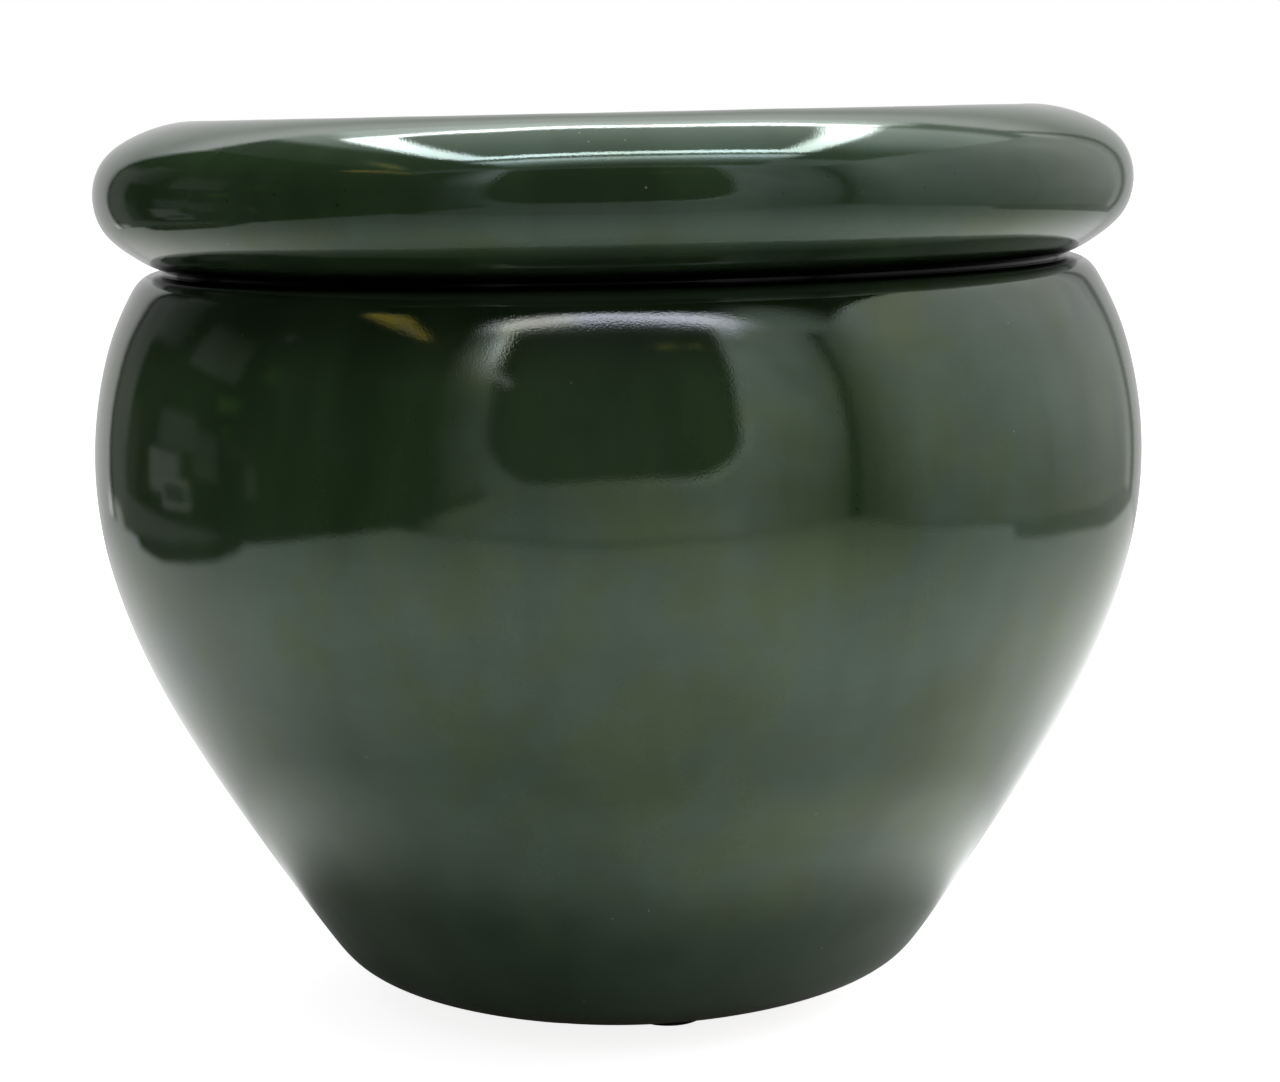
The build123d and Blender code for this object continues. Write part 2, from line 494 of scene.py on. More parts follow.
pads = {n: pad_piece("rubber_" + n, n) for n in ("foot_pad_front", "foot_pad_rear_right", "foot_pad_rear_left")}

FZ = FLOOR_Z + PAD_H


def plug_wave(t, r, z):
    # two fine parting lines of the mould down the stem and the knob
    d = min(abs(math.sin(t / 1.0)), 1.0)
    near = math.exp(-(d / 0.035) ** 2)
    return (0.035 * near if z < FZ - 0.4 and r > 7.5 else 0.05 * near if z > FZ + 3.0 and 3.0 < r < 5.0 else 0.0)


plug_profile = polyline(
    [(0, FZ - 7.35), (3.2, FZ - 7.35), (3.6, FZ - 7.6), (7.6, FZ - 7.6), (8.3, FZ - 6.9), (8.52, FZ - 4.6), (8.36, FZ - 4.35),
     (8.40, FZ - 4.05), (8.60, FZ - 3.85), (8.74, FZ - 2.1), (8.58, FZ - 1.85), (8.62, FZ - 1.55), (8.80, FZ - 1.35), (8.92, FZ - 0.0),
     (12.9, FZ + 0.0), (13.0, FZ + 0.15), (13.0, FZ + 1.4), (12.58, FZ + 2.2), (11.6, FZ + 2.55),
     (10.9, FZ + 2.6), (10.6, FZ + 2.38), (10.1, FZ + 2.38), (9.8, FZ + 2.62),
     (8.2, FZ + 2.66), (7.9, FZ + 2.46), (7.4, FZ + 2.46), (7.1, FZ + 2.70),
     (5.3, FZ + 2.80), (4.35, FZ + 3.05), (3.72, FZ + 3.6), (3.62, FZ + 4.3), (4.05, FZ + 5.2), (4.42, FZ + 5.9), (4.36, FZ + 6.6), (3.85, FZ + 7.2),
     (3.1, FZ + 7.38), (2.2, FZ + 7.36), (2.0, FZ + 7.22), (0.75, FZ + 7.2), (0.6, FZ + 7.38), (0, FZ + 7.38)],
    [0.1, 0.1, 0.25, 0.2, 0.1, 0.06, 0.06, 0.1, 0.1, 0.06, 0.06, 0.1, 0.05, 0.04, 0.05, 0.3, 0.4, 0.3, 0.2, 0.08, 0.08, 0.08,
     0.08, 0.08, 0.08, 0.08, 0.3, 0.3, 0.3, 0.3, 0.3, 0.3, 0.3, 0.25, 0.25, 0.2, 0.06, 0.06, 0.06], 4)
plug_profile = [(max(p[0], 0.0), p[1]) for p in plug_profile]
pv, pf = lathe(plug_profile, 160, (0, 0), plug_wave)
plug = mesh_object("drain_stopper", pv, pf)


# ------------------------------------------------------------------ materials
def bump_node(nt, height, strength, distance):
    n = nt.nodes.new("ShaderNodeBump")
    n.inputs["Strength"].default_value = strength
    n.inputs["Distance"].default_value = distance
    put(nt, n.inputs["Height"], height)
    return Val(nt, n.outputs[0])


def principled(nt, **k):
    n = nt.nodes.new("ShaderNodeBsdfPrincipled")
    for name, v in k.items():
        s = n.inputs[name.replace("_", " ")]
        if isinstance(v, Val):
            nt.links.new(v.socket, s)
        elif isinstance(v, tuple):
            s.default_value = (*v, 1.0)
        else:
            s.default_value = v
    return n


def output(nt, shader):
    n = nt.nodes.new("ShaderNodeOutputMaterial")
    nt.links.new(shader, n.inputs["Surface"])


def clay_shader(nt, obj, xyz, ring_height):
    """Bare fired stoneware: warm buff, iron specks, fine grit and turning lines."""
    x, y, z = xyz
    big = noise(nt, obj, 38.0, 4, 0.55)
    fine = noise(nt, obj, 900.0, 3, 0.6)
    col = mixc(nt, ramp(big, 0.28, 0.74), (0.33, 0.232, 0.145), (0.43, 0.315, 0.207))
    col = mixc(nt, ramp(fine, 0.56, 0.72) * 0.35, col, (0.20, 0.125, 0.07))
    speck = voronoi(nt, obj, 620.0)
    dots = ramp(speck, 0.16, 0.07) * ramp(noise(nt, obj, 240.0, 2), 0.54, 0.62)
    col = mixc(nt, dots * 0.8, col, (0.045, 0.024, 0.014))
    grit = noise(nt, obj, 2300.0, 3, 0.65)
    height = grit * 0.5 + fine * 0.35 - dots * 0.3 + ring_height
    normal = bump_node(nt, height, 0.6, 0.00016)
    return principled(nt, Base_Color=col, Roughness=ramp(fine, 0.3, 0.7, 0.78, 0.94), Normal=normal, Specular_IOR_Level=0.32)


def glaze_parts(nt, obj, xyz, dark=1.0, seed=0.0):
    """The green glaze: deep bottle green with slow runs, faint blue-grey bloom, pinholes and specks."""
    x, y, z = xyz
    shift = combine(nt, x + seed, y, z)
    run_vec = combine(nt, x + seed, y, z * 0.22)
    runs = noise(nt, run_vec, 75.0, 4, 0.55)
    cloud = noise(nt, shift, 34.0, 4, 0.55, 0.3)
    mottle = noise(nt, shift, 150.0, 3, 0.55, 0.2)
    bloom = noise(nt, combine(nt, x * 1.0 + seed, y, z * 0.5), 26.0, 5, 0.6, 0.4)
    deep, mid, soft = ((0.0130, 0.0270, 0.0100), (0.0205, 0.0405, 0.0155), (0.0270, 0.0460, 0.0235))
    col = mixc(nt, ramp(runs, 0.30, 0.70), deep, mid)
    col = mixc(nt, ramp(cloud, 0.38, 0.70) * 0.5, col, soft)
    col = mixc(nt, ramp(mottle, 0.45, 0.75) * 0.22, col, (0.011, 0.026, 0.008))
    # tiny pinholes and dark iron specks, sparse
    pin = voronoi(nt, shift, 260.0)
    pick = noise(nt, shift, 95.0, 1)
    pinhole = ramp(pin, 0.080, 0.035) * ramp(pick, 0.64, 0.68)
    speck = voronoi(nt, combine(nt, x + 3.1, y, z), 330.0)
    specks = ramp(speck, 0.11, 0.04) * ramp(noise(nt, combine(nt, x, y + 1.7, z), 60.0, 1), 0.58, 0.63)
    col = mixc(nt, specks * 0.75, col, (0.004, 0.006, 0.003))
    col = mixc(nt, pinhole * 0.65, col, (0.055, 0.060, 0.045))
    dust = ramp(voronoi(nt, combine(nt, x + 5.3, y, z), 210.0), 0.050, 0.030) * ramp(noise(nt, combine(nt, x, y + 4.1, z), 40.0, 1), 0.56, 0.60)
    col = mixc(nt, dust * 0.8, col, (0.17, 0.18, 0.15))
    col = scalec(nt, col, dark)
    # the skin of the glaze: long soft waves, and a fine orange peel
    peel = noise(nt, shift, 620.0, 2, 0.5)
    soft_w = noise(nt, shift, 135.0, 2, 0.5)
    grain = noise(nt, shift, 3000.0, 2, 0.6)
    height = peel * 0.035 + soft_w * 0.16 + grain * 0.20 - pinhole * 0.3 - specks * 0.03
    normal = bump_node(nt, height, 0.35, 0.00012)
    rough = ramp(bloom, 0.35, 0.75, 0.024, 0.060) + pinhole * 0.3 + ramp(mottle, 0.5, 0.8) * 0.015
    rings = noise(nt, combine(nt, x * 0.25, y * 0.25, z), 85.0, 4, 0.6)
    level = ramp(bloom, 0.32, 0.68, 0.565, 0.700) * ramp(runs, 0.30, 0.70, 0.97, 1.03) * ramp(rings, 0.32, 0.68, 0.95, 1.05)
    # the sheen is olive in some clouds and bluish grey in others
    olive = noise(nt, combine(nt, x + seed, y + 0.7, z * 0.95), 23.0, 5, 0.60, 0.6)
    small = noise(nt, combine(nt, x + seed, y + 0.2, z * 0.8), 95.0, 3, 0.55, 0.3)
    sheen = mixc(nt, ramp(olive * 0.72 + small * 0.28, 0.44, 0.60), (0.79, 1.0, 0.88), (0.80, 0.97, 0.62))
    return col, rough, level, normal, sheen


def lower_edge(nt, x, y, height, base, amount):
    """A wandering height round the pot: the base height plus noise over the place."""
    n1 = noise(nt, combine(nt, x, y, 0.0), 30.0, 3, 0.55)
    n2 = noise(nt, combine(nt, x, y, 0.3), 170.0, 3, 0.6)
    line = base + (n1 - 0.5) * amount + (n2 - 0.5) * (amount * 0.35)
    return line


def edge_node(nt, x, y, terms, base):
    """The same sum of sines as the mesh uses, over the angle round the axis."""
    ang = math_node(nt, "ARCTAN2", y, x)
    total = None
    for order, amp, phase in terms:
        t = math_node(nt, "SINE", ang * float(order) + float(phase)) * amp
        total = t if total is None else total + t
    return total + base


def paint_groove_shade(nt, glaze, amount):
    """Painted shade: a near-black finish mixed in where two surfaces meet, standing in for their deep shadow."""
    black = principled(nt, Base_Color=(0.0012, 0.0016, 0.0012), Roughness=0.12, IOR=1.61, Specular_IOR_Level=0.10)
    mix = nt.nodes.new("ShaderNodeMixShader")
    put(nt, mix.inputs[0], amount)
    nt.links.new(glaze.outputs[0], mix.inputs[1])
    nt.links.new(black.outputs[0], mix.inputs[2])
    return mix


def make_bowl_material():
    m, nt = new_material("green_glaze_bowl")
    obj, (x, y, z) = object_coords(nt)
    r = vsqrt(x * x + y * y)
    h = (z - LIFT) / MM                      # millimetres above the clay foot
    col, rough, level, normal, sheen = glaze_parts(nt, obj, (x, y, z))
    # thin and browner where it stops above the foot; the thinnest band is also painted lighter, standing in for light
    # from the floor
    line = edge_node(nt, x, y, [(3, 0.35, 0.7), (7, 0.25, 2.1), (17, 0.16, 0.0), (31, 0.10, 1.0)], 1.15)
    over = h - line
    thin_band_lit = ramp(over, 1.9, 0.3)
    col = mixc(nt, ramp(over, 9.0, 0.5) * 0.35, col, (0.030, 0.036, 0.006))
    col = mixc(nt, thin_band_lit * 0.9, col, (0.200, 0.135, 0.062))
    # painted shade: the slot beside the collar is painted near-black, standing in for its deep shadow
    slot = ramp(r, 0.0891 * MM * 1000, 0.0886 * MM * 1000) * ramp(h, 130.0, 136.0)
    # painted shade: the shoulder is darkened towards the roll, under its overhang
    col = scalec(nt, col, ramp(h, 122.0, 136.0, 1.0, 0.55))
    glaze = principled(nt, Base_Color=col, Roughness=rough * ramp(h, 85.0, 110.0, 1.0, 0.62), IOR=1.61, Specular_IOR_Level=level, Specular_Tint=sheen, Normal=normal)
    glaze = paint_groove_shade(nt, glaze, slot)
    rings = math_node(nt, "SINE", r * (2 * math.pi / (0.00075 * MM * 1000))) * 0.25 * ramp(h, 8.0, 1.0)
    clay = clay_shader(nt, obj, (x, y, z), rings)
    bare = ramp(over, 0.18, -0.10)
    mix = nt.nodes.new("ShaderNodeMixShader")
    put(nt, mix.inputs[0], bare)
    nt.links.new(glaze.outputs[0], mix.inputs[1])
    nt.links.new(clay.outputs[0], mix.inputs[2])
    output(nt, mix.outputs[0])
    return m


def make_inside_material():
    m, nt = new_material("green_glaze_inside")
    obj, (x, y, z) = object_coords(nt)
    r = vsqrt(x * x + y * y)
    h = (z - LIFT) / MM
    col, rough, level, normal, sheen = glaze_parts(nt, obj, (x, y, z), 1.0, 0.37)
    glaze = principled(nt, Base_Color=col, Roughness=rough, IOR=1.61, Specular_IOR_Level=level, Specular_Tint=sheen, Normal=normal)
    rings = math_node(nt, "SINE", h * (2 * math.pi / 1.6)) * 0.22 + math_node(nt, "SINE", r * (2 * math.pi / (0.0013 * MM * 1000))) * 0.2 * ramp(h, 14.0, 9.0)
    clay = clay_shader(nt, obj, (x, y, z), rings)
    att = nt.nodes.new("ShaderNodeAttribute")
    att.attribute_name = "glazed"
    cover = Val(nt, att.outputs["Fac"])
    wobble = (noise(nt, obj, 260.0, 3, 0.6) - 0.5) * 0.035
    bare = ramp(cover + wobble, 0.507, 0.493)
    mix = nt.nodes.new("ShaderNodeMixShader")
    put(nt, mix.inputs[0], bare)
    nt.links.new(glaze.outputs[0], mix.inputs[1])
    nt.links.new(clay.outputs[0], mix.inputs[2])
    output(nt, mix.outputs[0])
    return m


def make_rim_material():
    m, nt = new_material("green_glaze_rim")
    obj, (x, y, z) = object_coords(nt)
    r = vsqrt(x * x + y * y)
    h = (z - LIFT) / MM
    col, rough, level, normal, sheen = glaze_parts(nt, obj, (x, y, z), 1.0, 0.81)
    # painted shade: the roll's underside is darkened on its outer part
    col = scalec(nt, col, 1.0 - ramp(h, 148.0, 143.5) * ramp(r, 0.080 * MM * 1000, 0.084 * MM * 1000) * 0.52)
    # painted shade: the groove under the roll, beside the neck, is painted near-black
    under = ramp(h, 144.0, 142.0) * ramp(r, 0.0915 * MM * 1000, 0.0882 * MM * 1000) * ramp(r, 0.080 * MM * 1000, 0.084 * MM * 1000)
    sheen = mixc(nt, ramp(h, 148.0, 152.5) * 0.55, sheen, (0.64, 0.76, 0.92))
    glaze = principled(nt, Base_Color=col, Roughness=rough * 0.75, IOR=1.61, Specular_IOR_Level=level * ramp(h, 146.0, 152.0, 0.94, 0.655), Specular_Tint=sheen, Normal=normal)
    glaze = paint_groove_shade(nt, glaze, under)
    output(nt, glaze.outputs[0])
    return m


def make_rubber(name, tone, ring=0.0):
    m, nt = new_material(name)
    obj, (x, y, z) = object_coords(nt)
    big = noise(nt, obj, 260.0, 3, 0.55)
    fine = noise(nt, obj, 2600.0, 3, 0.6)
    dust = noise(nt, obj, 90.0, 4, 0.6)
    col = mixc(nt, ramp(big, 0.35, 0.7), tuple(c * 0.8 for c in tone), tuple(c * 1.25 for c in tone))
    col = mixc(nt, ramp(dust, 0.55, 0.8) * 0.25, col, (0.09, 0.088, 0.08))
    normal = bump_node(nt, fine * 0.5 + big * 0.3, 0.35, 0.00008)
    s = principled(nt, Base_Color=col, Roughness=ramp(dust, 0.35, 0.75, 0.46, 0.66), Normal=normal, Specular_IOR_Level=0.45)
    output(nt, s.outputs[0])
    return m


bowl_mat, inside_mat, rim_mat = make_bowl_material(), make_inside_material(), make_rim_material()
pad_mat, plug_mat = make_rubber("rubber_feet", (0.012, 0.012, 0.012)), make_rubber("rubber_stopper", (0.020, 0.019, 0.018))

# The bowl's inside takes its own finish, and carries how far the glaze covers it.
bowl.data.materials.append(bowl_mat)
bowl.data.materials.append(inside_mat)
co = np.zeros(len(bowl.data.vertices) * 3, np.float32)
bowl.data.vertices.foreach_get("co", co)
co = co.reshape(-1, 3)
br = np.hypot(co[:, 0] - AXIS.x, co[:, 1] - AXIS.y) / MM
bz = (co[:, 2] - LIFT) / MM
bt = np.arctan2(co[:, 1] - AXIS.y, co[:, 0] - AXIS.x)
cover = np.clip((bz - inner_edge(bt) - 0.35) / 24.0 + 0.5, 0.0, 1.0)
rows = len(bowl_loop)
outer_rows = int((np.linalg.norm(bowl_loop - np.array([NECK_R, SEAT_Z]), axis=1)).argmin())
row_of = np.repeat(np.arange(rows), 360)
inside_vertex = (row_of > outer_rows) & (bz > 1.9)
attribute = bowl.data.attributes.new("glazed", "FLOAT", "POINT")
attribute.data.foreach_set("value", np.where(inside_vertex, cover, 1.0).astype(np.float32))
loops = np.zeros(len(bowl.data.loops), np.int32)
bowl.data.loops.foreach_get("vertex_index", loops)
face_in = inside_vertex[loops.reshape(-1, 4)].all(1)
bowl.data.polygons.foreach_set("material_index", face_in.astype(np.int32))
roll.data.materials.append(rim_mat)
for p in pads.values():
    p.data.materials.append(pad_mat)
plug.data.materials.append(plug_mat)

# ------------------------------------------------------------------ onto the CAD bodies
for piece, node, body, finish in (
    (bowl, "bowl", "pot", "green_glaze"),
    (roll, "rolled_rim", "pot", "green_glaze"),
    (plug, "drain_plug", "plug", "plug_rubber"),
    *[(p, n, "pot", "black_rubber") for n, p in pads.items()],
):
    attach(piece, body)
    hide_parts(node)


# ------------------------------------------------------------------ studio
# A pale table inside a soft light tent. The tent's cloth walls, the opening in its front and its
# frame of lamps are seen only in the gloss of the glaze; the light on the pot itself is plain and soft.
X_L, X_R, Y_F, Y_B, Z_C = -0.445, 0.505, -0.454, 0.500, 0.635


def quad(name, corners, shader):
    ob = mesh_object(name, corners, [tuple(range(len(corners)))], smooth=False)
    ob.data.materials.append(shader)
    return ob


def only_in_gloss(ob):
    ob.visible_camera = False
    ob.visible_diffuse = False
    ob.visible_transmission = False
    ob.visible_volume_scatter = False
    ob.visible_shadow = False


def glow(name, formula, through=False):
    """An emitting cloth whose brightness is a formula of place."""
    m, nt = new_material(name)
    x, y, z = world_xyz(nt)
    strength, tint = formula(nt, x, y, z)
    e = nt.nodes.new("ShaderNodeEmission")
    put(nt, e.inputs["Strength"], strength)
    if isinstance(tint, Val):
        nt.links.new(tint.socket, e.inputs["Color"])
    else:
        e.inputs["Color"].default_value = (*tint, 1.0)
    if through:
        t = nt.nodes.new("ShaderNodeBsdfTransparent")
        a = nt.nodes.new("ShaderNodeAddShader")
        nt.links.new(e.outputs[0], a.inputs[0])
        nt.links.new(t.outputs[0], a.inputs[1])
        output(nt, a.outputs[0])
    else:
        output(nt, e.outputs[0])
    m.cycles.emission_sampling = "NONE"
    return m


NEUTRAL = (1.0, 1.0, 1.0)
GLARE = (1.16, 0.96, 1.28)


def rounded_box(x, z, cx, cz, hw, hh, rad):
    qx = vabs(x - cx) - hw + rad
    qz = vabs(z - cz) - hh + rad
    ox, oz = vmax(qx, 0.0), vmax(qz, 0.0)
    return vsqrt(ox * ox + oz * oz) + vmin(vmax(qx, qz), 0.0) - rad


def front_formula(nt, x, y, z):
    cloth = noise(nt, combine(nt, x, y, z), 9.0, 3, 0.5)
    # the cloth to the right of the opening, brighter beside it and towards the top
    right = (ramp(z, 0.02, 0.36) * 0.42 + 0.62) * ramp(x, 0.19, 0.34, 1.02, 0.80) * ramp(x, 0.34, 0.45, 1.0, 0.70) + ramp(z, 0.46, 0.62) * 0.15
    right = right * ramp(x, 0.452, 0.464, 1.0, 0.16) * (cloth * 0.5 + 0.75)
    # the strip below it, with the shaded joint between cloth and table
    dip = (z - 0.006) / 0.008
    below = (ramp(x, -0.22, 0.20, 0.44, 0.69) + ramp(z, 0.11, 0.0) * 0.12) * (1.0 - vexp(-(dip * dip)) * 0.28)
    # a fold hanging from its lower left corner: lit below, in shade above
    edge = z - (x + 0.410) * 0.5
    folded = ramp(edge, 0.006, -0.012) * ramp(x, -0.38, -0.26, 0.10, 0.46)
    near = ramp(x, -0.335, -0.212)
    lift_ = ramp(z, 0.28, 0.48, 0.20, 1.25) * near * (near * 0.5 + 0.85) + ramp(z, 0.10, 0.26) * near * 0.10
    left = vmax(folded, lift_ * ramp(edge, -0.012, 0.03) + 0.02)
    is_right = ramp(x, 0.190, 0.205)
    is_left = ramp(x, -0.200, -0.218)
    cloths = mixf(is_left, mixf(is_right, below, right), left)
    rad = ramp(z, 0.30, 0.42, 0.098, 0.035)
    hole = rounded_box(x, z, -0.0075, 0.355, 0.2045, 0.233, rad)
    inside = ramp(hole, 0.003, -0.004)
    hem = vexp(-(hole * hole) / (0.0045 * 0.0045)) * ramp(z, 0.42, 0.16) * ramp(x, -0.02, 0.14) * 0.9
    total = mixf(inside, cloths, 0.055) + hem
    # two warm lamps far off in the room, through the opening
    lamps = None
    for cx, cz, w, hgt in ((0.092, 0.456, 0.013, 0.012), (0.142, 0.459, 0.011, 0.009)):
        dx, dz = (x - cx) / w, (z - cz) / hgt
        g = vexp(-(dx * dx + dz * dz))
        lamps = g if lamps is None else lamps + g
    tint = mixc(nt, vmin(lamps * 3.0, 1.0), NEUTRAL, (1.0, 0.74, 0.22))
    return total + lamps * 0.75, tint


def right_formula(nt, x, y, z):
    cloth = noise(nt, combine(nt, x, y, z), 7.0, 3, 0.5)
    seam = vexp(-((y - 0.040) * (y - 0.040)) / (0.0028 * 0.0028)) * ramp(z, 0.36, 0.26)
    v = (ramp(z, 0.0, 0.5, 0.64, 1.22, "LINEAR")) * ramp(y, -0.46, -0.27, 0.36, 1.0) * ramp(y, 0.22, 0.44, 1.0, 0.80)
    return v * (cloth * 0.35 + 0.83) * (1.0 - seam * 0.22) * ramp(z, 0.0, 0.20, 0.80, 1.0), NEUTRAL


def back_formula(nt, x, y, z):
    v = 0.64 + ramp(z, 0.42, 0.62) * 0.85
    seam = ramp(x, 0.385, 0.405) * ramp(x, 0.455, 0.435)
    return v * (1.0 - seam * 0.6), NEUTRAL


def left_formula(nt, x, y, z):
    # a dim room beyond the open side: a pale hanging cloth, a window, a desk with boxes on it, leaves
    cloth = noise(nt, combine(nt, x, y, z), 12.0, 4, 0.55)
    fine = noise(nt, combine(nt, x, y, z), 70.0, 3, 0.6)

    def patch(y0, y1, z0, z1, soft=0.004):
        return band(y, y0, y1, soft) * band(z, z0, z1, soft)

    crease = vabs(z - 0.105 - (y - 0.30) * 0.55)
    hang = band(y, 0.262, 0.440, 0.010) * ramp(z, 0.385, 0.30) * (cloth * 0.5 + 0.75) * ramp(crease, 0.0, 0.006, 0.75, 1.0) * 0.15
    hang = vmax(hang, patch(0.15, 0.27, 0.247, 0.38, 0.012) * ramp(y, 0.15, 0.27, 0.35, 1.0) * 0.115)
    hang = vmax(hang, band(y, 0.205, 0.27, 0.015) * ramp(z, 0.17, 0.12) * 0.05)
    window = patch(-0.055, 0.085, 0.236, 0.325) * ramp(z, 0.34, 0.25, 0.35, 1.0) * 0.105
    desk = ramp(z - vmax(y + 0.02, 0.0) * 0.10, 0.022, 0.016) * band(y, -0.03, 0.44, 0.02) * ramp(z, 0.0, 0.010, 0.3, 1.0) * 0.13
    boxes = patch(-0.044, 0.012, 0.090, 0.150) * 0.085 + patch(0.012, 0.120, 0.118, 0.166) * 0.095
    boxes = boxes * (fine * 0.6 + 0.7) + patch(0.046, 0.143, 0.062, 0.113) * (fine * 0.4 + 0.8) * 0.24
    tray = patch(0.026, 0.104, 0.046, 0.083, 0.002) * (1.0 - patch(0.033, 0.096, 0.053, 0.076, 0.002) * 0.8) * 0.34
    boxes = vmax(boxes * (1.0 - patch(0.026, 0.104, 0.046, 0.083, 0.003)), tray)
    small = patch(-0.136, -0.117, 0.074, 0.126) * 0.12 + patch(-0.130, -0.05, 0.130, 0.146) * 0.03
    dot_y, dot_z = (y + 0.108) / 0.006, (z - 0.372) / 0.005
    small = small + vexp(-(dot_y * dot_y + dot_z * dot_z)) * 0.4
    leaf = patch(-0.146, -0.108, 0.255, 0.300, 0.008) * ramp(fine, 0.35, 0.55)
    leaf = leaf + patch(-0.082, -0.028, 0.196, 0.213, 0.006) * 1.3 + patch(-0.055, -0.035, 0.185, 0.20, 0.004) + patch(-0.070, -0.052, 0.154, 0.168, 0.004)
    back = ramp(y, 0.446, 0.454) * ramp(z, 0.35, 0.02, 0.46, 0.68)
    low = ramp(y, 0.30, 0.36) * ramp(z, 0.040, 0.012) * 0.6
    gap = 1.0 - band(y, 0.418, 0.450, 0.004)
    v = (0.012 + vmax(hang, vmax(desk, low)) + window + boxes + small + leaf * 0.10) * gap + back
    tint = mixc(nt, vmin(leaf * 1.5, 1.0), NEUTRAL, (0.55, 1.0, 0.25))
    # a warm lamp near the front, high up
    streak = noise(nt, combine(nt, x, y * 0.6, z * 2.0), 22.0, 2, 0.5)
    across = z + (y + 0.42) * 0.357
    warm = ramp(across, 0.600, 0.608) * ramp(z + (y + 0.31) * 0.80, 0.645, 0.630) * ramp(y, -0.205, -0.225) * ramp(streak, 0.35, 0.55, 0.7, 1.1)
    tint = mixc(nt, warm, tint, (1.0, 0.65, 0.12))
    return v + warm * 1.35, tint


def ceiling_formula(nt, x, y, z):
    cloth = noise(nt, combine(nt, x, y, z), 8.0, 3, 0.5)
    # the lamp frame is set a little askew
    u = x * 0.9945 + y * 0.1045
    v = y * 0.9945 - x * 0.1045
    past = y - x * 0.127 - 0.331             # how far behind the back bar's near edge
    bars_x = vmax(band(x, -0.226, -0.178, 0.006) * band(y, -0.165, 0.330, 0.006), band(u, 0.208, 0.258, 0.006) * band(v, -0.190, 0.312, 0.006))
    bars_y = vmax(band(v, -0.188, -0.140, 0.006) * band(u, -0.236, 0.250, 0.006), band(past, 0.0, 0.034, 0.004) * band(x, -0.226, 0.222, 0.006))
    bars = vmax(bars_x, bars_y)
    across = band(u, -0.245, 0.262, 0.02)
    centre = (ramp(x, -0.15, 0.15, 0.030, 0.062)) * (cloth * 0.3 + 0.85)
    front = vexp(vmin((v + 0.262) / 0.052, 0.0)) * 7.4 * ramp(v, -0.212, -0.258)
    front = (front + 1.1 * ramp(v, -0.300, -0.262)) * across
    right = ramp(u, 0.25, 0.275) * ramp(v, -0.24, 0.10, 0.34, 1.85) * (1.0 - band(v, 0.33, 0.50, 0.04) * 0.72)
    right = vmax(right, ramp(u, 0.24, 0.275) * ramp(v, -0.30, -0.36) * 1.1)
    left = ramp(u, -0.24, -0.265) * (0.12 + ramp(v, -0.33, -0.40) * 0.42)
    back = ramp(past, 0.036, 0.046) * (0.95 + band(past, 0.062, 0.092, 0.008) * 0.65) * band(x, -0.222, 0.250, 0.02) * 1.3
    inner = band(u, -0.215, 0.230, 0.01) * band(v, -0.16, 0.335, 0.01) * centre
    total = bars * 18.0 + (1.0 - bars) * (inner + front + back + right + left)
    lx, ly = (x + 0.378) / 0.030, (y + 0.235 - (x + 0.378) * 2.4) / 0.060
    lamp = vexp(-(lx * lx + ly * ly) * 1.0)
    tint = mixc(nt, vmin(lamp * 2.5, 1.0), (0.93, 1.0, 0.96), (1.0, 0.86, 0.30))
    return total + lamp * 1.6, tint


def halo_formula(nt, x, y, z):
    # the lamps' glare along the head of the opening, and down its left side
    head = ramp(z, 0.582, 0.598) * ramp(x, -0.318, -0.225) * ramp(x, 0.36, 0.20)
    side_r = band(x, 0.205, 0.265, 0.016) * ramp(z, 0.505, 0.575) * 0.45
    fade_in = vexp(vmin((z - 0.590) / 0.014, 0.0)) * band(x, -0.21, 0.205, 0.01) * 0.85
    edge_x = -0.2225 - ramp(z, 0.30, 0.36, -0.012, 0.0)
    dx = (x - edge_x + 0.004) / 0.013
    side_l = vexp(-(dx * dx)) * ramp(z, 0.335, 0.50) * 0.85
    tail = vexp(-(((x - (-0.190 + (0.345 - z) * 0.75)) / 0.008) * ((x - (-0.190 + (0.345 - z) * 0.75)) / 0.008))) * band(z, 0.330, 0.372, 0.008) * 0.40
    return (head + side_r + fade_in + side_l + tail) * 3.3, GLARE


def halo_top_formula(nt, x, y, z):
    v = ramp(y, -0.432, -0.452) * ramp(x, -0.318, -0.225) * ramp(x, 0.36, 0.20)
    # past the lamps, the cloth overhead goes on to the right
    cloth = ramp(x, 0.17, 0.34) * ramp(y, -0.33, -0.43)
    return v * 2.6 + cloth * 0.85, mixc(nt, ramp(x, 0.18, 0.28), GLARE, (0.93, 1.0, 0.96))


def flat_strip(value):
    return lambda nt, x, y, z: (noise(nt, combine(nt, x, y, z), 10.0, 3, 0.5) * value * 0.4 + value * 0.8, NEUTRAL)


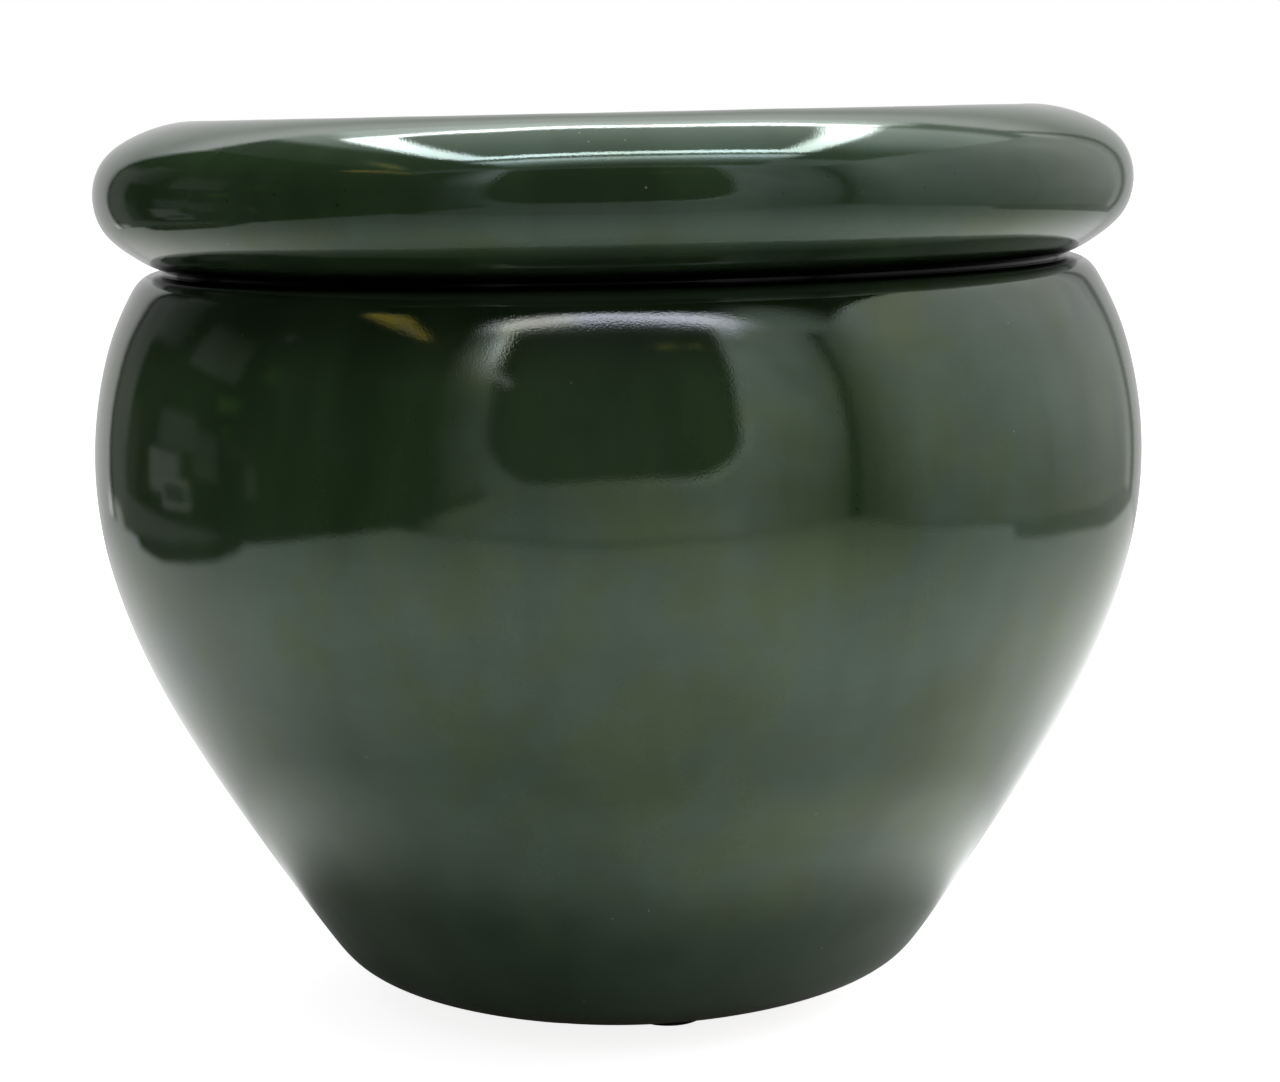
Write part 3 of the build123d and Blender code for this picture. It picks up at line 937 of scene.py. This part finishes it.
panels = {
    "tent_front": ([(X_L, Y_F, 0), (X_R, Y_F, 0), (X_R, Y_F, Z_C), (X_L, Y_F, Z_C)], glow("tent_front", front_formula)),
    "tent_right": ([(X_R, Y_F, 0), (X_R, Y_B, 0), (X_R, Y_B, Z_C), (X_R, Y_F, Z_C)], glow("tent_right", right_formula)),
    "tent_back": ([(X_R, Y_B, 0), (X_L, Y_B, 0), (X_L, Y_B, Z_C), (X_R, Y_B, Z_C)], glow("tent_back", back_formula)),
    "tent_left": ([(X_L, Y_B, 0), (X_L, Y_F, 0), (X_L, Y_F, Z_C), (X_L, Y_B, Z_C)], glow("tent_left", left_formula)),
    "tent_ceiling": ([(X_L, Y_F, Z_C), (X_R, Y_F, Z_C), (X_R, Y_B, Z_C), (X_L, Y_B, Z_C)], glow("tent_ceiling", ceiling_formula)),
    "table_edge_right": ([(0.452, Y_F, 0.0015), (X_R, Y_F, 0.0015), (X_R, -0.05, 0.0015), (0.462, -0.05, 0.0015)], glow("edge_right", flat_strip(0.42))),
    "table_edge_back_right": ([(0.400, -0.05, 0.0015), (X_R, -0.05, 0.0015), (X_R, Y_B, 0.0015), (0.385, Y_B, 0.0015)], glow("edge_back_right", flat_strip(0.36))),
    "table_edge_left": ([(X_L, -0.095, 0.0015), (-0.405, -0.070, 0.0015), (-0.374, -0.015, 0.0015), (-0.372, 0.115, 0.0015), (-0.398, 0.205, 0.0015), (X_L, 0.25, 0.0015)], glow("edge_left", flat_strip(0.045))),
}
made = {}
for name, (corners, mat) in panels.items():
    made[name] = quad(name, corners, mat)
    only_in_gloss(made[name])
halo = quad("glare_front", [(X_L, Y_F + 0.002, 0.25), (X_R, Y_F + 0.002, 0.25), (X_R, Y_F + 0.002, Z_C), (X_L, Y_F + 0.002, Z_C)], glow("glare_front", halo_formula, True))
halo_top = quad("glare_top", [(X_L, Y_F, Z_C - 0.002), (X_R, Y_F, Z_C - 0.002), (X_R, -0.20, Z_C - 0.002), (X_L, -0.20, Z_C - 0.002)], glow("glare_top", halo_top_formula, True))
only_in_gloss(halo)
only_in_gloss(halo_top)


def light_only(lamp, objects, name):
    """The lamp is seen only in these objects."""
    group = bpy.data.collections.new(name)
    for o in objects:
        group.objects.link(o)
    lamp.light_linking.receiver_collection = group


light_only(halo, [bowl], "sees_glare")
light_only(halo_top, [bowl], "sees_glare_top")
light_only(made["tent_ceiling"], [roll, plug, *pads.values()], "sees_ceiling")

# table top
m, nt = new_material("pale_table")
x, y, z = world_xyz(nt)
lp = nt.nodes.new("ShaderNodeLightPath")
in_gloss = Val(nt, lp.outputs["Is Glossy Ray"])
weave = noise(nt, combine(nt, x, y, z), 60.0, 4, 0.6)
# painted light and shadow, seen only in the glaze's reflections: the table's brightness changes from left to right,
# with a painted shadow and a lit ring round the foot
tone = ramp(x, -0.36, 0.00, 0.76, 0.90) + ramp(x, 0.02, 0.12) * 0.09
out = vsqrt(x * x * ramp(x, -0.02, 0.02, 0.72, 0.88) + y * y)
foot_shade_and_light = ramp(out, 0.067, 0.084, 0.0, 1.0) * ramp(out, 0.084, 0.112, 1.0, 0.30) + ramp(out, 0.045, 0.062, 0.50, 0.72) * (1.0 + ramp(out, 0.085, 0.12, 1.0, 0.0) * ramp(x, -0.02, 0.05, -0.06, 0.28))
tone = mixf(in_gloss, tone * 0.0 + 1.0, tone * foot_shade_and_light * ramp(x, 0.13, 0.38, 1.0, 0.74))
d = nt.nodes.new("ShaderNodeBsdfDiffuse")
nt.links.new(scalec(nt, (0.93, 0.93, 0.93), tone * (weave * 0.02 + 0.99)).socket, d.inputs["Color"])
lift_e = nt.nodes.new("ShaderNodeEmission")
put(nt, lift_e.inputs["Strength"], Val(nt, lp.outputs["Is Camera Ray"]) * 0.85)
both = nt.nodes.new("ShaderNodeAddShader")
nt.links.new(d.outputs[0], both.inputs[0])
nt.links.new(lift_e.outputs[0], both.inputs[1])
side = nt.nodes.new("ShaderNodeNewGeometry")
clear = nt.nodes.new("ShaderNodeBsdfTransparent")
one_sided = nt.nodes.new("ShaderNodeMixShader")
nt.links.new(side.outputs["Backfacing"], one_sided.inputs[0])
nt.links.new(both.outputs[0], one_sided.inputs[1])
nt.links.new(clear.outputs[0], one_sided.inputs[2])
output(nt, one_sided.outputs[0])
m.cycles.emission_sampling = "NONE"
FAR = 6.0
table = quad("table_top", [(-FAR, -FAR, 0), (FAR, -FAR, 0), (FAR, FAR, 0), (-FAR, FAR, 0)], m)

# the room's soft light: brighter from the right and above than from the left
w = bpy.data.worlds.new("soft_room")
scene.world = w
w.use_nodes = True
nt = w.node_tree
nt.nodes.clear()
tc = nt.nodes.new("ShaderNodeTexCoord")
sx = nt.nodes.new("ShaderNodeSeparateXYZ")
nt.links.new(tc.outputs["Generated"], sx.inputs[0])
dx, dy, dz = (Val(nt, sx.outputs[i]) for i in range(3))
lp = nt.nodes.new("ShaderNodeLightPath")
seen = Val(nt, lp.outputs["Is Camera Ray"])
strength = ramp(dx, -0.7, 0.7, 0.25, 0.62, "LINEAR") * ramp(dy, -0.8, 0.8, 0.8, 1.2, "LINEAR")
strength = mixf(seen, strength, 1.0)
bg = nt.nodes.new("ShaderNodeBackground")
put(nt, bg.inputs["Strength"], strength)
bg.inputs["Color"].default_value = (1, 1, 1, 1)
wo = nt.nodes.new("ShaderNodeOutputWorld")
nt.links.new(bg.outputs[0], wo.inputs["Surface"])


def soft_lamp(name, at, aim, size, power):
    data = bpy.data.lights.new(name, "AREA")
    data.shape, data.size, data.size_y = "RECTANGLE", size[0], size[1]
    data.energy = power
    ob = bpy.data.objects.new(name, data)
    scene.collection.objects.link(ob)
    ob.location = at
    ob.rotation_mode = "QUATERNION"
    ob.rotation_quaternion = (Vector(aim) - Vector(at)).to_track_quat("-Z", "Y")
    ob.visible_glossy = False
    ob.visible_camera = False
    return ob


soft_lamp("lamp_overhead", (0.02, 0.10, 0.63), (0.02, 0.10, 0.0), (0.52, 0.58), 4.7)
soft_lamp("lamp_right", (0.75, 0.15, 0.55), (0.0, 0.0, 0.08), (0.7, 0.6), 2.0)

# ------------------------------------------------------------------ camera
cam_data = bpy.data.cameras.new("camera")
cam = bpy.data.objects.new("camera", cam_data)
scene.collection.objects.link(cam)
scene.camera = cam
cam_data.sensor_width, cam_data.sensor_fit = 36.0, "HORIZONTAL"
cam_data.lens = 86.43
cam_data.shift_x = 0.0155
cam_data.clip_start, cam_data.clip_end = 0.01, 50.0
pitch, tilt = math.radians(7.951), math.radians(1.207)
right, up, fwd = Vector((1, 0, 0)), Vector((0, math.sin(pitch), math.cos(pitch))), Vector((0, math.cos(pitch), -math.sin(pitch)))
r2 = right * math.cos(tilt) - up * math.sin(tilt)
u2 = right * math.sin(tilt) + up * math.cos(tilt)
cam.matrix_world = Matrix((
    (r2.x, u2.x, -fwd.x, 0.0), (r2.y, u2.y, -fwd.y, -0.5914), (r2.z, u2.z, -fwd.z, 0.170), (0, 0, 0, 1)))
scene.view_settings.view_transform = "Standard"
scene.view_settings.look = "None"
